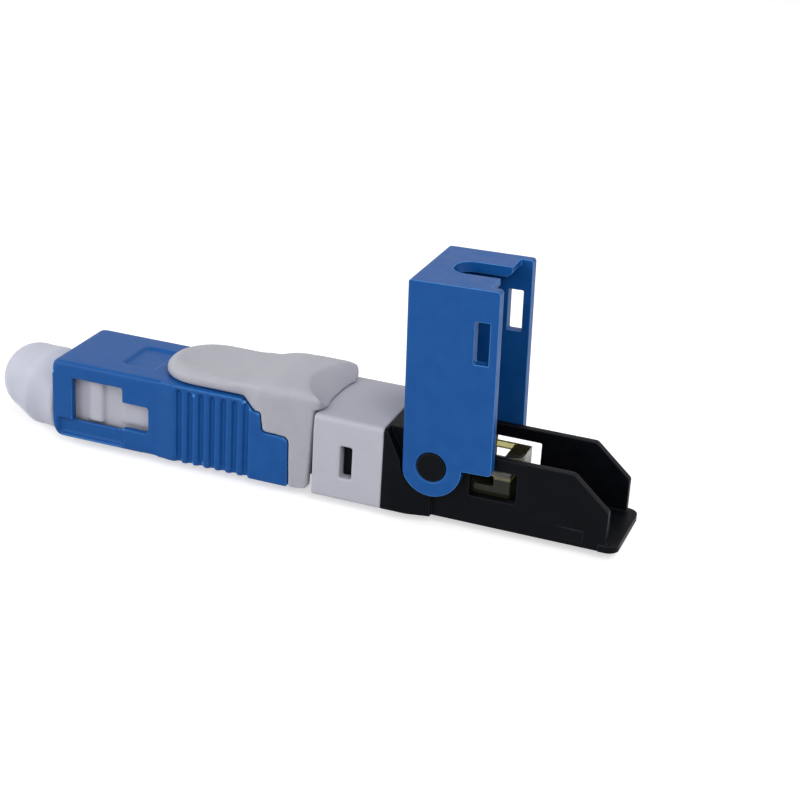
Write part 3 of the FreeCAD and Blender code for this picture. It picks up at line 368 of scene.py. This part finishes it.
@dataclass
class Finishes:
    """All finishes of the connector, each made once."""

    # Polybutylene terephthalate in the cover's blue, from a satin tool: even colour, soft sheen
    blue: bpy.types.Material = field(default_factory=lambda: MouldedPlastic(
        "moulded_blue_pbt", "#084787", "#4F93D8", 0.42, sheen=0.16,
        cloud_share=0.03).build())
    # The same blue on the shell, whose ribs and corners are painted lighter, partly as wear from
    # the fingers and partly as a painted highlight
    shell_blue: bpy.types.Material = field(default_factory=lambda: MouldedPlastic(
        "moulded_blue_pbt_shell", "#084787", "#4F93D8", 0.42, sheen=0.16, cloud_share=0.03,
        edges=EdgeReading.POINTINESS).build())
    # Glass-filled black of the cable base and splice housing: dull, with edges painted grey, partly
    # as wear from handling and partly as a painted highlight
    black: bpy.types.Material = field(default_factory=lambda: MouldedPlastic(
        "moulded_black_pbt", "#06070B", "#26272D", 0.46, sheen=0.05).build())
    # Pale grey acetal of the slider and clamp sleeve, slightly waxy
    grey: bpy.types.Material = field(default_factory=lambda: MouldedPlastic(
        "moulded_grey_acetal", "#9F9FA7", "#C8C8CE", 0.45, scatter=0.60,
        scatter_depth=1.4).build())
    # White polybutylene terephthalate of the main body and plug frame: cool and satin
    white: bpy.types.Material = field(default_factory=lambda: MouldedPlastic(
        "moulded_white_pbt", "#A9A9B3", "#CBCBD2", 0.42, scatter=0.08).build())
    # Soft polyethylene of the dust cap, milky where it is thin
    milky: bpy.types.Material = field(default_factory=lambda: MouldedPlastic(
        "moulded_milky_polyethylene", "#ADAFBC", "#CDCFDB", 0.42, ior=1.51, grain=0.20,
        grain_depth=0.003, scatter=0.85, scatter_depth=3.0).build())
    # Glass-filled polyetherimide of the splice, a warm cream
    cream: bpy.types.Material = field(default_factory=lambda: MouldedPlastic(
        "moulded_cream_polymer", "#C9B98A", "#DCCFA8", 0.40).build())
    # Clear amber polysulfone of the fibre guide: pale in the light, with painted shade down in the
    # channel
    amber: bpy.types.Material = field(default_factory=lambda: ClearFinish(
        "clear_amber_polysulfone", "#C9C48C", "#A49E62", 0.18, 1.63, 0.97,
        sheen=0.15, painted_shade="#1C1C11").build())
    # Lapped zirconia of the ferrule: bright white with a hard gloss
    zirconia: bpy.types.Material = field(default_factory=lambda: HardSurface(
        "lapped_zirconia", "#F1EEE9", "#EDEAE4", 0.0, 0.12, 0.02, ior=2.1,
        line_depth=0.0001).build())
    # Turned stainless steel of the ferrule holder: bright, with faint rings
    steel: bpy.types.Material = field(default_factory=lambda: HardSurface(
        "turned_stainless_steel", "#C6C5C2", "#A9A8A5", 1.0, 0.26, 0.12).build())
    # Drawn spring wire and strip: bright, a little darker along its lines
    spring: bpy.types.Material = field(default_factory=lambda: HardSurface(
        "drawn_spring_steel", "#BDBDBE", "#8F9093", 1.0, 0.30, 0.15).build())
    # Silica of the fibre: clear and glossy
    glass: bpy.types.Material = field(default_factory=lambda: ClearFinish(
        "silica_fibre", "#EEF3F6", "#DDE7EC", 0.04, 1.46, 0.95).build())


def dress(node: str, material: bpy.types.Material) -> None:
    """Give a CAD node's object one finish.

    Args:
        node: name of the node.
        material: the finish.
    """
    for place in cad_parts[node].material_slots:
        place.material = material
    LOG.info("%s dressed in %s", node, material.name)


def finish_piece(name: str, mesh: bmesh.types.BMesh, material: bpy.types.Material, body: Body,
                 node: str) -> bpy.types.Object:
    """Turn a bmesh into a piece that stands for a CAD node.

    Args:
        name: name of the piece.
        mesh: the shape, in the row frame; it is freed.
        material: finish of the piece.
        body: body that the piece rides on.
        node: CAD node that the piece stands for.

    Returns:
        The piece's object.
    """
    bmesh.ops.recalc_face_normals(mesh, faces=mesh.faces)
    for face in mesh.faces:
        face.smooth = True
    data = bpy.data.meshes.new(name)
    mesh.to_mesh(data)
    mesh.free()
    data.materials.append(material)
    piece = bpy.data.objects.new(name, data)
    bpy.context.scene.collection.objects.link(piece)
    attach(piece, body.value)
    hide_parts(node)
    LOG.info("%s: %d faces, rides on %s", name, len(data.polygons), body.value)
    return piece


def merged_copy(node: str) -> bmesh.types.BMesh:
    """Copy a CAD node's mesh with the points of neighbouring faces joined.

    Args:
        node: name of the node.

    Returns:
        The copy, which the caller frees.
    """
    copy = bmesh.new()
    copy.from_mesh(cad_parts[node].data)
    bmesh.ops.remove_doubles(copy, verts=copy.verts, dist=SAME_POINT * MM)
    return copy


@dataclass
class SoftSkin:
    """Copy of a CAD solid in even small squares, whose edges are blended as a mould leaves them."""

    node: str
    voxel: float
    body: Body
    slot: Slot

    def remeshed(self) -> bmesh.types.BMesh:
        """Copy the solid as a mesh of even small squares.

        Returns:
            The copy, which the caller frees.
        """
        joined = merged_copy(self.node)
        data = bpy.data.meshes.new(self.node + "_blank")
        joined.to_mesh(data)
        joined.free()
        blank = bpy.data.objects.new(self.node + "_blank", data)
        bpy.context.scene.collection.objects.link(blank)
        even = blank.modifiers.new("even", "REMESH")
        even.mode = "VOXEL"
        even.voxel_size = self.voxel * MM
        seen = blank.evaluated_get(bpy.context.evaluated_depsgraph_get())
        skin = bmesh.new()
        skin.from_mesh(seen.to_mesh())
        bpy.data.objects.remove(blank)
        return skin

    def finished(self, skin: bmesh.types.BMesh, material: bpy.types.Material) -> None:
        """Put the blended mesh, with its finish, in the place of its node."""
        finish_piece(self.node + "_skin", skin, material, self.body, self.node)


def blend(skin: bmesh.types.BMesh, passes: int, low: Vector, high: Vector) -> None:
    """Relax the points of a skin that lie in a box.

    Args:
        skin: the mesh.
        passes: how many times each point moves halfway to its neighbours' middle.
        low: lower corner of the box, in millimetres.
        high: upper corner of the box, in millimetres.
    """
    chosen = [v for v in skin.verts
              if all(low[i] * MM < v.co[i] < high[i] * MM for i in range(3))]
    for _ in range(passes):
        bmesh.ops.smooth_vert(skin, verts=chosen, factor=0.5, use_axis_x=True, use_axis_y=True,
                              use_axis_z=True)


@dataclass
class LockSlider:
    """Grey saddle with its dished pad, raised shoulder and scooped tail, blended as moulded."""

    skin: SoftSkin = field(default_factory=lambda: SoftSkin(
        "lock_slider", 0.11, Body.SLIDER, Slot.GREY))
    skin_passes: int = 3
    soft_passes: int = 14
    top_passes: int = 26
    tail_passes: int = 6
    soft_height: float = 7.95
    top_height: float = 8.15
    tail_start: float = -14.2
    end_passes: int = 8
    side_end: float = -11.5
    side_sheets: tuple[tuple[float, float], ...] = ((-5.0, -3.9), (3.9, 5.0))
    foot_start: float = -13.0
    foot_run: float = 1.5
    foot_low: float = 7.6
    foot_high: float = 8.9
    foot_reach: float = 0.42
    foot_half: float = 2.6
    corner_start: float = 2.7
    corner_width: float = 0.9
    corner_draw: float = 0.14

    def build(self, finishes: Finishes) -> None:
        """Build the slider's skin over its solid.

        Args:
            finishes: finishes of the connector.
        """
        skin = self.skin.remeshed()
        valley = Vector((self.tail_start, FAR, FAR))
        self.straighten_foot(skin)
        blend(skin, self.skin_passes, LOWEST, HIGHEST)
        blend(skin, self.soft_passes, Vector((-FAR, -FAR, self.soft_height)), valley)
        blend(skin, self.top_passes, Vector((-FAR, -FAR, self.top_height)), valley)
        blend(skin, self.tail_passes, Vector((self.tail_start, -FAR, self.soft_height)), HIGHEST)
        for low, high in self.side_sheets:
            blend(skin, self.end_passes, Vector((self.side_end, low, -FAR)),
                  Vector((FAR, high, FAR)))
        self.skin.finished(skin, finishes.grey)
        dress("clamp_sleeve", finishes.grey)

    def straighten_foot(self, skin: bmesh.types.BMesh) -> None:
        """Let the scooped tail meet the main body along a straight line.

        Only points above foot_low move. The move is full up to one millimetre below foot_high,
        and from there it fades to nothing at foot_high.

        Args:
            skin: the slider's even mesh.
        """
        for vert in skin.verts:
            x, y, z = vert.co / MM
            if z < self.foot_low or x < self.foot_start:
                continue
            back = min(1.0, (x - self.foot_start) / self.foot_run)
            share = back * min(1.0, max(0.0, self.foot_high - z))
            middle = max(0.0, 1.0 - (y / self.foot_half) ** 2)
            corner = min(1.0, max(0.0, (abs(y) - self.corner_start) / self.corner_width))
            vert.co.x += share * (self.foot_reach * middle - self.corner_draw * corner) * MM


@dataclass
class FerruleTrain:
    """Ferrule, holder, fibre and splice, which float together in the plug, and their spring."""

    splice: tuple[str, ...] = ("splice_base", "splice_lid_front", "splice_lid_rear")
    float_joint: str = "ferrule_float"
    float_travel: float = 1.5

    def build(self, finishes: Finishes) -> None:
        """Dress the train's nodes and make a copy of the spring.

        Args:
            finishes: finishes of the connector.
        """
        dress("ferrule", finishes.zirconia)
        dress("ferrule_holder", finishes.steel)
        dress("splice_clip", finishes.spring)
        dress("fibre_stub", finishes.glass)
        for node in self.splice:
            dress(node, finishes.cream)
        self.coil(finishes.spring)

    def coil(self, material: bpy.types.Material) -> None:
        """Copy the spring as a piece of its own, which keeps its length as the ferrule floats.

        Args:
            material: finish of the spring.
        """
        coil = merged_copy("ferrule_spring")
        piece = finish_piece("ferrule_spring_coil", coil, material, Body.CONNECTOR,
                             "ferrule_spring")
        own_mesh(piece)


@dataclass
class PlugShell:
    """Blue push-pull shell around the white plug frame."""

    skin: SoftSkin = field(default_factory=lambda: SoftSkin(
        "outer_housing", 0.125, Body.GRIP, Slot.BLUE))
    skin_passes: int = 2
    nose_passes: int = 7
    nose: float = -35.75
    rail_low: tuple[float, float, float] = (-35.85, 4.15, 0.38)
    rail_high: tuple[float, float, float] = (-29.45, 4.37, 1.82)
    rail_depth: float = 0.22
    hem_passes: int = 10
    hem_start: float = -27.5
    hem_end: float = -17.0
    hem_height: float = 0.55
    frame_skin: SoftSkin = field(default_factory=lambda: SoftSkin(
        "plug_frame", 0.12, Body.CONNECTOR, Slot.WHITE))
    frame_skin_passes: int = 1
    frame_passes: int = 16
    window_low: tuple[float, float] = (-35.2, 1.2)
    window_high: tuple[float, float] = (-24.0, 6.4)
    frame_core: float = 2.6

    def build(self, finishes: Finishes) -> None:
        """Build the skins of the shell and of the frame seen through its windows.

        Args:
            finishes: finishes of the connector.
        """
        skin = self.skin.remeshed()
        for side in (-1, 1):
            self.sink_rail(skin, side)
        blend(skin, self.skin_passes, LOWEST, HIGHEST)
        blend(skin, self.nose_passes, LOWEST, Vector((self.nose, FAR, FAR)))
        blend(skin, self.hem_passes, Vector((self.hem_start, -FAR, -FAR)),
              Vector((self.hem_end, FAR, self.hem_height)))
        self.skin.finished(skin, finishes.shell_blue)
        self.soften_frame(finishes.white)

    def soften_frame(self, material: bpy.types.Material) -> None:
        """Build the plug frame's skin, rounded where it shows through the shell's windows.

        Args:
            material: finish of the frame.
        """
        skin = self.frame_skin.remeshed()
        blend(skin, self.frame_skin_passes, LOWEST, HIGHEST)
        start, floor = self.window_low
        end, roof = self.window_high
        for low, high in ((-FAR, -self.frame_core), (self.frame_core, FAR)):
            blend(skin, self.frame_passes, Vector((start, low, floor)), Vector((end, high, roof)))
        self.frame_skin.finished(skin, material)

    def sink_rail(self, skin: bmesh.types.BMesh, side: int) -> None:
        """Deepen the recess under one window, so that its ledge shows.

        Args:
            skin: the shell's even mesh.
            side: -1 for the near side and 1 for the far one.
        """
        low, high = self.rail_low, self.rail_high
        floor = [v for v in skin.verts
                 if low[0] * MM < v.co.x < high[0] * MM
                 and low[1] * MM < side * v.co.y < high[1] * MM
                 and low[2] * MM < v.co.z < high[2] * MM]
        bmesh.ops.translate(skin, verts=floor, vec=(0, -side * self.rail_depth * MM, 0))
        LOG.info("rail recess sunk on side %d: %d points", side, len(floor))


@dataclass
class CableEnd:
    """Main body, splice housing, black cable base and the amber guide in it."""

    skin: SoftSkin = field(default_factory=lambda: SoftSkin(
        "main_body", 0.092, Body.CONNECTOR, Slot.WHITE))
    skin_passes: int = 1
    top_passes: int = 9
    top_height: float = 6.4

    def build(self, finishes: Finishes) -> None:
        """Build the main body's skin over its solid and dress the nodes behind it.

        Args:
            finishes: finishes of the connector.
        """
        skin = self.skin.remeshed()
        blend(skin, self.skin_passes, LOWEST, HIGHEST)
        blend(skin, self.top_passes, Vector((-FAR, -FAR, self.top_height)), HIGHEST)
        self.skin.finished(skin, finishes.white)
        dress("splice_housing", finishes.black)
        dress("cable_base", finishes.black)
        dress("fibre_guide", finishes.amber)


@dataclass
class FlipCover:
    """Blue cover standing open on its two pivots."""

    def build(self, finishes: Finishes) -> None:
        """Dress the cover in its blue."""
        dress("cable_cover", finishes.blue)


@dataclass
class DustCap:
    """Milky cap on the ferrule, soft all over where it stands out of the shell."""

    skin: SoftSkin = field(default_factory=lambda: SoftSkin(
        "dust_cap", 0.10, Body.CAP, Slot.CAP))
    skin_passes: int = 3
    head_passes: int = 26
    head: float = -36.65
    base: tuple[float, float, float] = (-36.605, -1.00, 2.68)
    axis: tuple[float, float, float] = (-0.9493, 0.3007, 0.0914)
    neck_radius: float = 3.40
    rim_radius: float = 3.79
    rim: float = 2.15
    neck_start: float = -1.5
    bore_side: float = 2.9

    def build(self, finishes: Finishes) -> None:
        """Build the cap's skin over its solid.

        Args:
            finishes: finishes of the connector.
        """
        skin = self.skin.remeshed()
        self.fill_neck(skin)
        blend(skin, self.skin_passes, LOWEST, HIGHEST)
        blend(skin, self.head_passes, LOWEST, Vector((self.head, FAR, FAR)))
        self.skin.finished(skin, finishes.milky)

    def fill_neck(self, skin: bmesh.types.BMesh) -> None:
        """Widen the neck to a smooth flare between the shell and the rim.

        Args:
            skin: the cap's even mesh.
        """
        base, axis = Vector(self.base), Vector(self.axis)
        for vert in skin.verts:
            if vert.co.x > self.head * MM:
                continue
            place = vert.co / MM - base
            along = place.dot(axis)
            out = place - along * axis
            if self.neck_start < along < self.rim and out.length > self.bore_side:
                share = (max(0.0, along) / self.rim) ** 2
                radius = self.neck_radius + (self.rim_radius - self.neck_radius) * share
                vert.co = (base + along * axis + out * (radius / out.length)) * MM


@dataclass(frozen=True)
class SoftBox:
    """Square studio lamp aimed at a point. Its side, place and target are in metres."""

    name: str
    place: tuple[float, float, float]
    side: float
    watts: float
    target: tuple[float, float, float] = (-0.01, 0.0, 0.005)
    colour: str = "#FFFFFF"

    def hang(self) -> None:
        """Put the lamp in the scene."""
        lamp = bpy.data.lights.new(self.name, "AREA")
        lamp.shape = "SQUARE"
        lamp.size = self.side
        lamp.energy = self.watts
        lamp.color = linear(self.colour)[:3]
        holder = bpy.data.objects.new(self.name, lamp)
        bpy.context.scene.collection.objects.link(holder)
        aim = Vector(self.target) - Vector(self.place)
        holder.matrix_world = (Matrix.Translation(self.place)
                               @ aim.to_track_quat("-Z", "Y").to_matrix().to_4x4())


@dataclass
class Studio:
    """Pale floor, soft lamps, white surroundings and the photograph's camera.

    Angles are in degrees, the lens and sensor in millimetres, and places in metres.
    """

    azimuth: float = 19.412
    elevation: float = 23.171
    roll: float = 3.438
    station: tuple[float, float, float] = (0.041743, -0.132141, 0.068135)
    lens: float = 79.69
    sensor: float = 36.0
    nearest: float = 0.005
    floor_half: float = 1.2
    floor_colour: str = "#D2D2D4"
    backdrop: float = 0.56
    ambient: float = 0.26
    lamps: list[SoftBox] = field(default_factory=lambda: [
        SoftBox("key_left", (-0.375, -0.085, 0.175), 0.26, 0.60),
        SoftBox("front_left", (-0.20, -0.355, 0.185), 0.26, 0.84),
        SoftBox("fill_right", (0.19, -0.25, 0.285), 0.20, 0.78),
        SoftBox("top_right", (0.20, 0.09, 0.36), 0.24, 0.72),
    ])

    def build(self) -> None:
        """Set up the whole studio."""
        self.lay_floor()
        self.surround()
        for lamp in self.lamps:
            lamp.hang()
        self.stand_camera()
        bpy.context.scene.view_settings.view_transform = "Standard"

    def seen_straight(self, tree: bpy.types.NodeTree) -> bpy.types.NodeSocket:
        """Tell rays that show a background from rays that only carry light.

        Args:
            tree: tree of the world or of a backdrop's material.

        Returns:
            An output that is 1 for camera, glossy and transmitted rays.
        """
        path = add(tree, "ShaderNodeLightPath")
        clear = add(tree, "ShaderNodeMath", {"operation": "MAXIMUM"},
                    {0: path.outputs["Is Camera Ray"], 1: path.outputs["Is Transmission Ray"]})
        return add(tree, "ShaderNodeMath", {"operation": "MAXIMUM"},
                   {0: clear.outputs["Value"], 1: path.outputs["Is Glossy Ray"]}).outputs["Value"]

    def lay_floor(self) -> None:
        """Lay a floor under the object's lowest point, grey to its light and white to the eye."""
        material, tree = empty_material("studio_floor")
        seen = self.seen_straight(tree)
        level = add(tree, "ShaderNodeMath", {"operation": "MULTIPLY", 1: self.backdrop},
                    {0: seen})
        matte = add(tree, "ShaderNodeBsdfDiffuse", {"Color": linear(self.floor_colour)})
        white = add(tree, "ShaderNodeEmission", {"Color": linear("#FFFFFF")},
                    {"Strength": level.outputs["Value"]})
        both = add(tree, "ShaderNodeAddShader", None,
                   {0: matte.outputs["BSDF"], 1: white.outputs["Emission"]})
        add(tree, "ShaderNodeOutputMaterial", None, {"Surface": both.outputs["Shader"]})
        grid = bmesh.new()
        lowest = Matrix.Translation((0, 0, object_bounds()[0].z))
        bmesh.ops.create_grid(grid, x_segments=4, y_segments=4, size=self.floor_half,
                              matrix=lowest)
        data = bpy.data.meshes.new("floor")
        grid.to_mesh(data)
        grid.free()
        data.materials.append(material)
        floor = bpy.data.objects.new("floor", data)
        bpy.context.scene.collection.objects.link(floor)
        floor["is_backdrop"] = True

    def surround(self) -> None:
        """Light from all round, seen as white by the camera, in gloss and through clear parts."""
        world = bpy.data.worlds.new("studio")
        world.use_nodes = True
        tree = world.node_tree
        tree.nodes.clear()
        seen = self.seen_straight(tree)
        dim = add(tree, "ShaderNodeBackground",
                  {"Color": linear("#FFFFFF"), "Strength": self.ambient})
        white = add(tree, "ShaderNodeBackground", {"Color": linear("#FFFFFF"), "Strength": 1.0})
        mixed = add(tree, "ShaderNodeMixShader", None,
                    {0: seen, 1: dim.outputs["Background"],
                     2: white.outputs["Background"]})
        add(tree, "ShaderNodeOutputWorld", None, {"Surface": mixed.outputs["Shader"]})
        bpy.context.scene.world = world

    def stand_camera(self) -> None:
        """Put the camera where the photograph was taken from."""
        turn, lift, tilt = (math.radians(a) for a in (self.azimuth, self.elevation, self.roll))
        back = Vector((math.sin(turn) * math.cos(lift), -math.cos(turn) * math.cos(lift),
                       math.sin(lift)))
        level = Vector((math.cos(turn), math.sin(turn), 0.0))
        up = back.cross(level)
        right = level * math.cos(tilt) + up * math.sin(tilt)
        above = up * math.cos(tilt) - level * math.sin(tilt)
        lens = bpy.data.cameras.new("viewpoint")
        lens.lens = self.lens
        lens.sensor_width = self.sensor
        lens.clip_start = self.nearest
        camera = bpy.data.objects.new("viewpoint", lens)
        bpy.context.scene.collection.objects.link(camera)
        axes = Matrix((right, above, back)).transposed().to_4x4()
        camera.matrix_world = Matrix.Translation(self.station) @ axes
        bpy.context.scene.camera = camera


def main() -> None:
    """Build the finishes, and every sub-assembly and the studio."""
    logging.basicConfig(level=logging.INFO, format="%(name)s: %(message)s")
    finishes = Finishes()
    for part in (PlugShell(), FerruleTrain(), LockSlider(), CableEnd(), FlipCover(), DustCap()):
        part.build(finishes)
    Studio().build()


if __name__ == "__main__":
    main()
